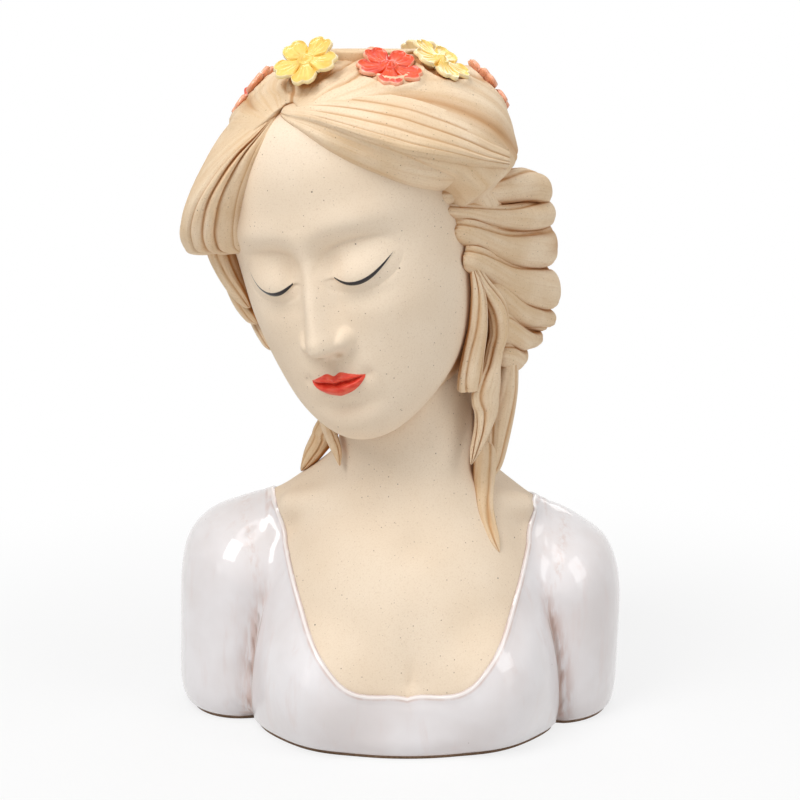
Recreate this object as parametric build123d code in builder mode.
from build123d import *
from math import atan2, cos, degrees, hypot, radians, sin
import os

# A planter in the shape of a woman's bust, cast in clay: a hollow torso in a glazed blouse, a bare
# neck and chest, and a hollow head with a planting mouth in its crown, a wreath of flowers round the
# mouth, and hair laid on in separate locks and rolls.
# The figure faces -Y and +Z is up. Left and right are the figure's own, so its left is at +X.
# Sizes are in millimetres. A table whose name ends in shares holds parts of the sizes it names.

# Casting
wall = 5.5
overrun = 12.0

# Torso, its lowest plane at z = 0
torso_height = 112.0
chest_half_width = 64.0
chest_front = 54.0
chest_back = 54.0
breast_spacing = 25.0
breast_half_width = 28.0
breast_radius = 34.0
breast_depth = 22.0
breast_height = 20.0
foot_height = 2.4
foot_step = 0.9
neckline_shift = 2.0
neckline_half_width = 59.0
neckline_bottom = 27.0
back_neckline_bottom = 84.0
shoulder_seam = 8.0

# Upper arms in their sleeves
arm_centre = 67.0
arm_half_width = 26.0
arm_half_depth = 36.0
arm_back_shift = 19.0
arm_height = 93.0

# Neck
neck_half_width = 29.0
neck_half_depth = 27.5
neck_shift = 2.0

# Head: its middle, its tilt in degrees, and its half sizes along its own axes
head_x = -17.0
head_y = -8.0
head_z = 206.0
head_roll = -11.0
head_turn = -22.0
head_nod = 10.0
head_half_width = 50.0
head_half_depth = 56.0
head_half_height = 74.0
hair_thickness = 10.0

# Planting mouth in the crown, and the floor of the planting bowl
mouth_radius = 26.0
mouth_lip = 3.5
mouth_x = -16.0
mouth_y = -2.0
rim_height = 275.0
rim_depth = 17.0
floor_height = 156.0
floor_thickness = 6.0
drain_radius = 6.0
drain_x = -6.0
drain_y = 4.0
plug_clearance = 0.05
plug_flange_radius = 9.5
plug_flange_thickness = 2.0
plug_depth = 5.0
plug_tab_height = 8.0
plug_tab_width = 7.0
plug_tab_thickness = 3.0
plug_tab_hole = 1.8

# Face
nose_length = 36.0
nose_half_width = 8.5
nose_reach = 13.0
lid_half_width = 12.5
lid_radius = 9.0
lid_spacing = 20.5
lid_rise = 3.0
lips_half_width = 11.0
lip_radius = 3.4
lip_line = 43.5
lip_rise = 1.6

# Wreath
wreath_radius = 41.0
flower_radius = 13.0
petal_half_width = 5.8
petal_thickness = 2.4
centre_radius = 3.0
centre_height = 1.4
pad_radius = 7.5
pad_depth = 9.0
petal_count = 5

# Flowers of the wreath: angle round the mouth from the front in degrees, distance from its middle as a
# part of the wreath's radius, and lift as a part of a petal's thickness; their tilts out of the hair
wreath_shares = (
    (-88.0, 1.04, 0.8, 0.20),
    (-34.0, 1.00, 2.4, 0.55),
    (16.0, 0.97, 0.8, 0.10),
    (50.0, 0.93, 0.8, 0.15),
    (92.0, 1.14, 0.8, 0.15),
    (130.0, 1.00, 0.8, 0.15),
    (167.0, 1.00, 0.8, 0.20),
    (206.0, 1.00, 0.8, 0.20),
    (242.0, 1.00, 0.8, 0.25),
)

# Head levels from chin to crown: height, half width, front, widest place, back
head_level_shares = (
    (-0.99, 0.18, -0.79, -0.62, -0.46),
    (-0.93, 0.38, -0.88, -0.57, -0.21),
    (-0.78, 0.62, -0.96, -0.39, 0.21),
    (-0.57, 0.82, -0.99, -0.16, 0.64),
    (-0.30, 0.95, -0.98, 0.00, 0.88),
    (0.00, 1.01, -0.96, 0.09, 1.00),
    (0.30, 1.02, -0.96, 0.11, 1.05),
    (0.54, 0.94, -0.89, 0.11, 0.96),
    (0.70, 0.76, -0.74, 0.09, 0.78),
    (0.80, 0.52, -0.50, 0.07, 0.53),
    (0.86, 0.24, -0.22, 0.05, 0.27),
)

# Hair cap levels: height, side shift, half width, front, widest place, back
cap_level_shares = (
    (-0.84, 0.12, 0.80, -0.54, 0.09, 0.82),
    (-0.54, 0.14, 1.00, -0.71, 0.09, 1.07),
    (-0.20, 0.14, 1.14, -0.89, 0.09, 1.21),
    (0.14, 0.14, 1.20, -1.04, 0.09, 1.25),
    (0.45, 0.14, 1.15, -1.07, 0.09, 1.21),
    (0.63, 0.12, 0.99, -1.00, 0.07, 1.07),
    (0.79, 0.09, 0.72, -0.76, 0.05, 0.82),
    (0.89, 0.06, 0.40, -0.44, 0.04, 0.48),
)

# Torso levels: height, half width, front, widest place, back
torso_level_shares = (
    (0.00, 0.91, -1.02, 0.00, 0.92),
    (0.11, 0.96, -1.06, 0.00, 0.96),
    (0.25, 1.00, -1.05, 0.00, 1.00),
    (0.45, 1.03, -0.92, 0.03, 1.02),
    (0.59, 1.03, -0.75, 0.07, 0.98),
    (0.71, 0.98, -0.60, 0.11, 0.89),
    (0.80, 0.91, -0.49, 0.15, 0.78),
    (0.87, 0.78, -0.46, 0.15, 0.70),
    (0.93, 0.62, -0.45, 0.11, 0.61),
    (1.00, 0.46, -0.46, 0.07, 0.54),
)

# Arm levels: height, middle, half width, half depth front, half depth back
arm_level_shares = (
    (0.00, 1.00, 0.96, 0.94, 0.94),
    (0.13, 1.01, 0.98, 0.98, 0.96),
    (0.38, 1.00, 1.00, 1.06, 0.96),
    (0.59, 0.99, 1.00, 1.08, 0.94),
    (0.73, 0.93, 1.00, 1.00, 0.86),
    (0.84, 0.87, 0.88, 0.86, 0.68),
    (0.93, 0.81, 0.65, 0.58, 0.46),
    (0.98, 0.77, 0.31, 0.28, 0.24),
)

# Neck levels, as parts of the floor's height: height, half width, front, back
neck_level_shares = (
    (0.60, 1.20, -1.02, 1.20),
    (0.69, 1.07, -0.98, 1.07),
    (0.78, 1.00, -0.96, 1.00),
    (0.88, 0.98, -1.00, 0.96),
    (1.00, 0.97, -1.02, 0.94),
)

# Neckline seen from in front: side, as a part of its half width, and height above its bottom, as a
# part of the drop from the torso's top
neckline_shares = ((0.00, 0.00), (0.54, 0.10), (0.71, 0.26), (0.83, 0.48), (0.93, 0.72))
back_neckline_shares = ((0.00, 0.00), (0.60, 0.05), (0.93, 0.18))

# Nose from its root to its base: level, half width, reach
nose_level_shares = (
    (0.42, 0.42, 0.02),
    (0.05, 0.50, 0.30),
    (-0.30, 0.72, 0.72),
    (-0.55, 1.00, 1.00),
    (-0.72, 0.90, 0.80),
    (-0.80, 0.50, 0.40),
)

# Edge of the face among the hair, seen from in front: side, height
face_edge_shares = (
    (0.00, 0.80),
    (0.34, 0.60),
    (0.58, 0.40),
    (0.78, 0.20),
    (0.88, 0.00),
    (0.93, -0.22),
)

# Locks that lie on the head: angle round it in degrees, level, lift, half breadth, half thickness
fringe_left_shares = (
    (2.0, 0.77, 0.60, 0.25, 0.35),
    (14.0, 0.70, 0.80, 0.55, 0.55),
    (30.0, 0.58, 0.95, 0.85, 0.65),
    (47.0, 0.43, 1.00, 1.00, 0.70),
    (64.0, 0.30, 1.05, 0.95, 0.70),
    (82.0, 0.20, 1.15, 0.70, 0.65),
    (100.0, 0.14, 1.30, 0.35, 0.45),
)
fringe_right_shares = (
    (-2.0, 0.77, 0.60, 0.25, 0.35),
    (-12.0, 0.71, 0.65, 0.50, 0.50),
    (-26.0, 0.58, 0.70, 0.85, 0.65),
    (-42.0, 0.40, 0.80, 1.10, 0.85),
    (-56.0, 0.22, 0.95, 1.30, 0.95),
    (-66.0, 0.04, 0.95, 1.20, 0.85),
    (-70.0, -0.10, 0.75, 0.65, 0.55),
)
under_wing_shares = (
    (-52.0, 0.42, 0.25, 0.40, 0.40),
    (-62.0, 0.20, 0.60, 0.90, 0.75),
    (-70.0, -0.02, 0.75, 1.05, 0.85),
    (-70.0, -0.20, 0.55, 0.80, 0.65),
    (-66.0, -0.33, 0.30, 0.30, 0.35),
)
curl_right_upper_shares = (
    (-84.0, 0.02, 0.70, 0.60, 0.60),
    (-80.0, -0.14, 0.95, 0.90, 0.80),
    (-74.0, -0.28, 0.85, 0.80, 0.70),
    (-68.0, -0.38, 0.45, 0.35, 0.40),
)
curl_right_lower_shares = (
    (-94.0, -0.10, 0.70, 0.60, 0.60),
    (-88.0, -0.28, 0.80, 0.85, 0.75),
    (-80.0, -0.44, 0.65, 0.65, 0.60),
    (-72.0, -0.56, 0.30, 0.25, 0.30),
)

# Rolls of gathered hair at the left side, from the face's edge round to the nape: four places from
# the head's middle, then the greatest half height, in parts of the head's half height
side_roll_shares = (
    ((0.46, -0.52, 0.19), (0.78, -0.14, 0.24), (0.90, 0.30, 0.20), (0.58, 0.68, 0.20), 0.095),
    ((0.51, -0.48, 0.08), (0.84, -0.08, 0.08), (0.97, 0.35, 0.06), (0.62, 0.70, 0.04), 0.115),
    ((0.56, -0.43, -0.05), (0.85, -0.04, -0.09), (0.95, 0.35, -0.14), (0.62, 0.68, -0.14), 0.120),
    ((0.62, -0.34, -0.16), (0.88, 0.01, -0.27), (1.00, 0.40, -0.35), (0.62, 0.68, -0.34), 0.125),
    ((0.67, -0.22, -0.31), (0.87, 0.06, -0.45), (0.96, 0.42, -0.55), (0.58, 0.64, -0.52), 0.115),
    ((0.69, -0.14, -0.46), (0.83, 0.12, -0.60), (0.90, 0.42, -0.71), (0.54, 0.60, -0.68), 0.100),
    ((0.64, -0.08, -0.62), (0.74, 0.16, -0.75), (0.79, 0.40, -0.85), (0.48, 0.54, -0.82), 0.085),
)
roll_height_shares = (0.45, 0.95, 1.00, 0.50)
roll_thickness_shares = (0.06, 0.13, 0.16, 0.10)

# Loose locks: place from the head's middle, half breadth and half thickness, in parts of the head's
# half height
lock_left_front_shares = (
    (0.56, -0.33, -0.08, 0.030, 0.035),
    (0.66, -0.26, -0.24, 0.060, 0.055),
    (0.78, -0.16, -0.41, 0.070, 0.065),
    (0.73, -0.14, -0.58, 0.075, 0.070),
    (0.78, -0.11, -0.80, 0.085, 0.070),
    (0.71, -0.14, -1.02, 0.070, 0.055),
    (0.61, -0.22, -1.18, 0.030, 0.030),
)
lock_left_inner_shares = (
    (0.59, -0.34, -0.20, 0.030, 0.035),
    (0.62, -0.30, -0.40, 0.055, 0.050),
    (0.60, -0.27, -0.62, 0.065, 0.055),
    (0.58, -0.26, -0.82, 0.072, 0.055),
)
lock_left_back_shares = (
    (0.80, 0.14, -0.66, 0.070, 0.090),
    (0.82, 0.08, -0.90, 0.090, 0.090),
    (0.81, 0.05, -1.10, 0.085, 0.080),
    (0.74, 0.03, -1.30, 0.055, 0.055),
)
lock_left_tip_shares = (
    (0.74, -0.02, -0.90, 0.050, 0.050),
    (0.68, -0.06, -1.12, 0.075, 0.060),
    (0.65, -0.08, -1.36, 0.072, 0.055),
    (0.69, -0.19, -1.56, 0.050, 0.040),
    (0.75, -0.26, -1.70, 0.020, 0.025),
)
lock_back_shares = (
    (0.00, 0.46, -0.78, 0.100, 0.090),
    (-0.10, 0.44, -1.02, 0.105, 0.085),
    (-0.22, 0.40, -1.20, 0.075, 0.060),
    (-0.31, 0.36, -1.35, 0.030, 0.030),
)
lock_right_shares = (
    (-0.22, 0.12, -0.84, 0.040, 0.050),
    (-0.17, 0.02, -1.00, 0.050, 0.055),
    (-0.135, -0.04, -1.14, 0.038, 0.045),
    (-0.125, -0.06, -1.28, 0.015, 0.020),
)
nape_hair_shares = (
    (0.26, 0.60, 0.20, 0.22, 0.10),
    (0.26, 0.68, -0.05, 0.50, 0.20),
    (0.24, 0.68, -0.38, 0.60, 0.26),
    (0.22, 0.58, -0.70, 0.50, 0.24),
    (0.20, 0.48, -0.95, 0.30, 0.14),
)

# The head's own axes, and the planes of the planting mouth and of the bowl's floor
tilt = Rotation(0, head_roll, 0) * Rotation(0, 0, head_turn) * Rotation(head_nod, 0, 0)
head_plane = Plane(Location((head_x, head_y, head_z)) * tilt)
mouth_plane = Plane(origin=(mouth_x, mouth_y, rim_height))
drain_plane = Plane(origin=(drain_x, drain_y, floor_height))
reach = arm_centre + arm_half_width + overrun


def egg(plane, half_width, front, widest, back, shift=0):
    """A closed egg-shaped outline on a plane, deeper on one side than on the other."""
    with BuildSketch(plane) as outline:
        with BuildLine():
            EllipticalCenterArc((shift, widest), half_width, widest - front, start_angle=180, arc_size=180)
            EllipticalCenterArc((shift, widest), half_width, back - widest, start_angle=0, arc_size=180)
        make_face()
    return outline.sketch


def form_through(sections):
    """A smooth solid through a row of outlines."""
    with BuildPart() as form:
        loft(sections)
    return form.part


def bead(middle, half_length, radius):
    """An ellipsoid round the x axis of a plane."""
    with BuildPart() as form:
        with BuildSketch(middle):
            with BuildLine():
                EllipticalCenterArc((0, 0), half_length, radius, start_angle=0, arc_size=180)
                Line((half_length, 0), (-half_length, 0))
            make_face()
        revolve(axis=Axis(middle.origin, middle.x_dir))
    return form.part


def disc(plane, radius, height):
    """A round block that stands on a plane."""
    with BuildPart() as block:
        with BuildSketch(plane):
            Circle(radius)
        extrude(amount=height)
    return block.part


def head_form(inset=0):
    """The head without its features, drawn in on all sides by inset."""
    height = head_half_height - inset
    breadth = head_half_width - inset
    depth = head_half_depth - inset
    return form_through([
        egg(head_plane.offset(row[0] * height), row[1] * breadth, *[share * depth for share in row[2:]])
        for row in head_level_shares
    ])


def cap_form():
    """The outer shape of the hair on the skull, before the face and the mouth are cut from it."""
    return form_through([
        egg(
            head_plane.offset(level * head_half_height),
            breadth * head_half_width,
            front * head_half_depth,
            widest * head_half_depth,
            back * head_half_depth,
            shift * head_half_width,
        )
        for level, shift, breadth, front, widest, back in cap_level_shares
    ])


def torso_form(inset=0):
    """The trunk without its breasts and arms."""
    return form_through([
        egg(
            Plane.XY.offset(level * torso_height),
            breadth * chest_half_width - inset,
            front * chest_front + inset,
            widest * chest_back,
            back * chest_back - inset,
        )
        for level, breadth, front, widest, back in torso_level_shares
    ])


def arm_form(side, inset=0):
    """One upper arm in its sleeve, with side +1 for the figure's left."""
    return form_through([
        egg(
            Plane.XY.offset(level * (arm_height - inset)),
            breadth * arm_half_width - inset,
            arm_back_shift - front * arm_half_depth + inset,
            arm_back_shift,
            arm_back_shift + back * arm_half_depth - inset,
            side * middle * arm_centre,
        )
        for level, middle, breadth, front, back in arm_level_shares
    ])


def neck_form(inset=0):
    """The neck's column, from inside the shoulders to the bowl's floor."""
    return form_through([
        egg(
            Plane.XY.offset(level * floor_height),
            breadth * neck_half_width - inset,
            front * neck_half_depth + inset,
            0,
            back * neck_half_depth - inset,
            neck_shift,
        )
        for level, breadth, front, back in neck_level_shares
    ])


def breast_form(side, inset=0):
    """One breast, a low swelling of the chest."""
    middle = Plane(origin=(side * breast_spacing + neckline_shift, -breast_depth, breast_height))
    return bead(middle, breast_half_width - inset, breast_radius - inset)


def neckline_cutter(shares, bottom, start, amount):
    """All that lies above a neckline, from one plane across the figure to another."""
    rise = torso_height - bottom
    side = [(share * neckline_half_width, bottom + up * rise) for share, up in shares]
    outline = [(-x, z) for x, z in side[:0:-1]] + side
    top = torso_height + overrun
    with BuildPart() as cutter:
        with BuildSketch(Plane.XZ.offset(-start)):
            with BuildLine():
                curve = Spline(*[(x + neckline_shift, z) for x, z in outline])
                corner = neckline_half_width + neckline_shift
                Polyline(curve @ 1, (corner, top), (neckline_shift * 2 - corner, top), curve @ 0)
            make_face()
        extrude(amount=amount)
    return cutter.part


def head_level(level):
    """Half width, front, widest place and back of the head at a level, between its drawn levels."""
    rows = head_level_shares
    for low, high in zip(rows, rows[1:]):
        if level <= high[0]:
            break
    part = (level - low[0]) / (high[0] - low[0])
    return [a + (b - a) * part for a, b in zip(low[1:], high[1:])]


def on_head(angle, level, lift=0):
    """A point over the head and its outward direction, both in the head's own axes."""
    breadth, front, widest, back = head_level(level)
    across = sin(radians(angle))
    forward = cos(radians(angle))
    half_width = breadth * head_half_width
    half_depth = ((widest - front) if forward > 0 else (back - widest)) * head_half_depth
    out = 1 / hypot(across / half_width, forward / half_depth) + lift * hair_thickness
    point = Vector(out * across, widest * head_half_depth - out * forward, level * head_half_height)
    return point, Vector(across, -forward, 0)


def in_world(direction):
    """A direction in the head's own axes, turned to the part's axes."""
    return head_plane.from_local_coords(direction) - head_plane.origin


def face_bead(side, level, half_length, radius, rise):
    """A bead across the face that stands out of it by its rise."""
    place, outward = on_head(degrees(atan2(side, head_half_depth)), level / head_half_height)
    middle = Plane(
        origin=head_plane.from_local_coords(place + outward * (rise - radius)),
        x_dir=in_world(Vector(-outward.Y, outward.X, 0)),
        z_dir=in_world(outward),
    )
    return bead(middle, half_length, radius)


def lock(points, outwards, breadths, thicknesses):
    """A lock of hair: ellipses across a route, broad along the surface that it lies on."""
    sections = []
    for i, point in enumerate(points):
        along = points[min(i + 1, len(points) - 1)] - points[max(i - 1, 0)]
        with BuildSketch(Plane(origin=point, x_dir=outwards[i].cross(along), z_dir=along)) as section:
            Ellipse(breadths[i], thicknesses[i])
        sections.append(section.sketch)
    return form_through(sections)


def head_lock(shares):
    """A lock that lies on the head, from its angles, levels, lifts and half sizes."""
    places = [on_head(angle, level, lift) for angle, level, lift, _, _ in shares]
    return lock(
        [head_plane.from_local_coords(point) for point, _ in places],
        [in_world(outward) for _, outward in places],
        [row[3] * hair_thickness for row in shares],
        [row[4] * hair_thickness for row in shares],
    )


def hanging_lock(shares):
    """A lock that hangs free of the head: level ellipses, placed from the head's middle."""
    sections = []
    for *place, breadth, thickness in shares:
        with BuildSketch(Plane(head_plane.origin + Vector(*place) * head_half_height)) as section:
            Ellipse(breadth * head_half_height, thickness * head_half_height)
        sections.append(section.sketch)
    return form_through(sections)


def side_roll(places, half_height):
    """One roll of the hair gathered back at the side, thickest at its outer lump."""
    points = [head_plane.origin + Vector(*place) * head_half_height for place in places]
    outwards = [Vector(place[0], place[1], 0) for place in places]
    return lock(
        points,
        outwards,
        [share * half_height * head_half_height for share in roll_height_shares],
        [share * head_half_height for share in roll_thickness_shares],
    )


def seated(piece, *others):
    """The largest solid of a piece once the pieces that it is pressed against are cut from it."""
    for other in others:
        piece = piece - other
    return Part() + piece.solids().sort_by(SortBy.VOLUME)[-1]


def save(part, name):
    """Writes one finished piece to its own file."""
    part.label = name
    export_step(part, f"parts/{name}.step")
    print(name, len(part.solids()), round(part.volume))


os.makedirs("parts", exist_ok=True)

# Forms that several pieces share
head_outer = head_form()
head_hollow = head_form(wall)
cap_outer = cap_form()
neck_outer = neck_form()
neck_hollow = neck_form(wall)
torso_hollow = torso_form(wall)
arms_outer = {side: arm_form(side) for side in (-1, 1)}
arm_hollows = {side: arm_form(side, wall) for side in (-1, 1)}
with BuildPart() as neckline:
    add(neckline_cutter(neckline_shares, neckline_bottom, shoulder_seam, reach))
    add(neckline_cutter(back_neckline_shares, back_neckline_bottom, shoulder_seam, -reach))
breasts = [breast_form(side) for side in (-1, 1)]
with BuildPart() as below_ground:
    with BuildSketch(Plane.XY):
        Rectangle(reach * 2, reach * 2)
    extrude(amount=-reach)
with BuildPart() as foot_slab:
    with BuildSketch(Plane.XY):
        Rectangle(reach * 2, reach * 2)
    extrude(amount=foot_height)
with BuildPart() as trunk:
    add(torso_form())
    add(breasts)
    add(below_ground.part, mode=Mode.SUBTRACT)

# Blouse, sleeves, and the bare chest with the neck
with BuildPart() as blouse_body:
    add(trunk.part)
    add(torso_hollow, mode=Mode.SUBTRACT)
    add(foot_slab.part, mode=Mode.SUBTRACT)
    add(neckline.part, mode=Mode.SUBTRACT)
save(seated(blouse_body.part), "blouse_body")

sleeve_names = {-1: "sleeve_right", 1: "sleeve_left"}
for side, name in sleeve_names.items():
    with BuildPart() as sleeve:
        add(arms_outer[side])
        add(arm_hollows[side], mode=Mode.SUBTRACT)
        add(trunk.part, mode=Mode.SUBTRACT)
        add(foot_slab.part, mode=Mode.SUBTRACT)
    save(seated(sleeve.part), name)

with BuildPart() as chest_and_neck:
    add(trunk.part)
    add(neckline.part, mode=Mode.INTERSECT)
    add(neck_outer)
    add([torso_hollow, neck_hollow, head_outer], mode=Mode.SUBTRACT)
save(seated(chest_and_neck.part), "chest_and_neck")

# Unglazed foot, set in from the glaze all round
with BuildPart() as foot_ring:
    add(torso_form(foot_step))
    add([breast_form(side, foot_step) for side in (-1, 1)])
    add([arm_form(side, foot_step) for side in (-1, 1)])
    add(foot_slab.part, mode=Mode.INTERSECT)
    add([torso_hollow, *arm_hollows.values()], mode=Mode.SUBTRACT)
save(seated(foot_ring.part), "foot_ring")

# Face and skull, hollow above the neck and open at the crown
with BuildPart() as nose:
    loft([
        egg(
            head_plane.offset(level * nose_length),
            breadth * nose_half_width,
            head_level(level * nose_length / head_half_height)[1] * head_half_depth - out * nose_reach,
            head_level(level * nose_length / head_half_height)[1] * head_half_depth + wall / 2,
            head_level(level * nose_length / head_half_height)[1] * head_half_depth + wall,
        )
        for level, breadth, out in nose_level_shares
    ])
rim_seat = disc(mouth_plane.offset(-rim_depth), mouth_radius + mouth_lip, rim_depth + overrun)
mouth_bore = disc(mouth_plane.offset(-rim_depth * 2), mouth_radius, rim_depth)
crown_slab = disc(mouth_plane, head_half_height + head_half_width, head_half_height)
with BuildPart() as head_shell:
    add(head_outer)
    add(nose.part)
    for side in (-1, 1):
        add(face_bead(side * lid_spacing, 0, lid_half_width, lid_radius, lid_rise))
        add(face_bead(0, side * lip_radius / 2 - lip_line, lips_half_width, lip_radius, lip_rise))
    add([head_hollow, neck_hollow, rim_seat, mouth_bore, crown_slab], mode=Mode.SUBTRACT)
save(seated(head_shell.part), "head_shell")

# Floor of the planting bowl with its drain hole, and the loose plug in the hole
with BuildPart() as planter_floor:
    add(disc(drain_plane, head_half_height, floor_thickness))
    add(head_hollow, mode=Mode.INTERSECT)
    add(disc(drain_plane, drain_radius, floor_thickness), mode=Mode.SUBTRACT)
save(seated(planter_floor.part), "planter_floor")

floor_top = drain_plane.offset(floor_thickness)
with BuildPart() as drain_plug:
    with BuildSketch(floor_top):
        Circle(plug_flange_radius)
    extrude(amount=plug_flange_thickness)
    with BuildSketch(floor_top):
        Circle(drain_radius - plug_clearance)
    extrude(amount=-plug_depth)
    with BuildSketch(floor_top.offset(plug_flange_thickness)):
        Rectangle(plug_tab_width, plug_tab_thickness)
    extrude(amount=plug_tab_height)
    with BuildSketch(Plane(origin=floor_top.origin, z_dir=(0, 1, 0)).offset(-plug_tab_thickness)):
        with Locations((0, -plug_flange_thickness - plug_tab_height / 2)):
            Circle(plug_tab_hole)
    extrude(amount=plug_tab_thickness * 2, mode=Mode.SUBTRACT)
save(drain_plug.part, "drain_plug")

# Rim of the planting mouth
with BuildPart() as mouth_rim:
    with BuildSketch(mouth_plane.offset(-rim_depth)):
        Circle(mouth_radius + mouth_lip)
        Circle(mouth_radius, mode=Mode.SUBTRACT)
    extrude(amount=rim_depth)
    fillet(mouth_rim.faces().sort_by(Axis.Z)[-1].edges(), mouth_lip / 3)
save(mouth_rim.part, "mouth_rim")

# Hair on the skull, open over the face
with BuildPart() as face_cutter:
    with BuildSketch(Plane(origin=head_plane.origin, x_dir=head_plane.x_dir, z_dir=-head_plane.y_dir)):
        with BuildLine():
            edge = [(x * head_half_width, z * head_half_height) for x, z in face_edge_shares]
            left = Spline(*edge)
            right = Spline(*[(-x, z) for x, z in edge])
            low = -head_half_height * 2
            Polyline(left @ 1, (reach, edge[-1][1] + low / 4), (reach, low), (-reach, low),
                     (-reach, edge[-1][1] + low / 4), right @ 1)
        make_face()
    extrude(amount=reach)
with BuildPart() as open_cap:
    add(cap_outer)
    add(face_cutter.part, mode=Mode.SUBTRACT)
with BuildPart() as covered_head:
    add(open_cap.part)
    add(head_outer)
with BuildPart() as hair_cap:
    add(open_cap.part)
    add([head_outer, rim_seat, crown_slab, neck_outer], mode=Mode.SUBTRACT)
save(seated(hair_cap.part), "hair_cap")

# Locks and rolls, each pressed against the ones before it; the right fringe stands over the hair's edge
locks = {
    "fringe_left": head_lock(fringe_left_shares),
    "fringe_right": head_lock(fringe_right_shares),
    "under_wing": head_lock(under_wing_shares),
    "curl_upper": head_lock(curl_right_upper_shares),
    "curl_lower": head_lock(curl_right_lower_shares),
}
for i, (*places, half_height) in enumerate(side_roll_shares):
    locks[f"side_roll_{i + 1}"] = side_roll(places, half_height)
locks["nape_hair"] = hanging_lock(nape_hair_shares)
locks["lock_left_front"] = hanging_lock(lock_left_front_shares)
locks["lock_left_inner"] = hanging_lock(lock_left_inner_shares)
locks["lock_left_back"] = hanging_lock(lock_left_back_shares)
locks["lock_left_tip"] = hanging_lock(lock_left_tip_shares)
locks["lock_back"] = hanging_lock(lock_back_shares)
locks["lock_right"] = hanging_lock(lock_right_shares)
laid = []
for name, form in locks.items():
    bed = cap_outer if name == "fringe_right" else covered_head.part
    near = [other for other in laid if other.bounding_box().overlaps(form.bounding_box())]
    piece = seated(form, bed, head_outer, neck_outer, trunk.part, *near)
    laid.append(piece)
    save(piece, name)

# Wreath: each flower has a stub in the hair, its petals round that, and a button in their middle
flowers = []
for i, (angle, share, lift, lean) in enumerate(wreath_shares):
    outward = Vector(sin(radians(angle)), -cos(radians(angle)), 0)
    above = mouth_plane.origin + outward * share * wreath_radius
    seat, normal = cap_outer.find_intersection_points(Axis(above, (0, 0, 1)))[-1]
    facing = normal + outward * lean
    petal_plane = Plane(origin=seat + normal * lift * petal_thickness, z_dir=facing)
    with BuildPart() as petals:
        with BuildSketch(petal_plane):
            with PolarLocations(flower_radius / 2, petal_count):
                Ellipse(flower_radius / 2, petal_half_width)
        extrude(amount=petal_thickness)
        with BuildSketch(petal_plane):
            Circle(pad_radius)
        extrude(amount=-pad_depth)
    piece = seated(petals.part, cap_outer, head_outer, rim_seat, *flowers)
    flowers.append(piece)
    save(piece, f"flower_{i + 1}_petals")
    with BuildPart() as button:
        with BuildSketch(petal_plane.offset(petal_thickness)):
            Circle(centre_radius)
        extrude(amount=centre_height)
        top = button.faces().sort_by(Axis(petal_plane.origin, petal_plane.z_dir))[-1]
        fillet(top.edges(), centre_height / 2)
    save(button.part, f"flower_{i + 1}_centre")
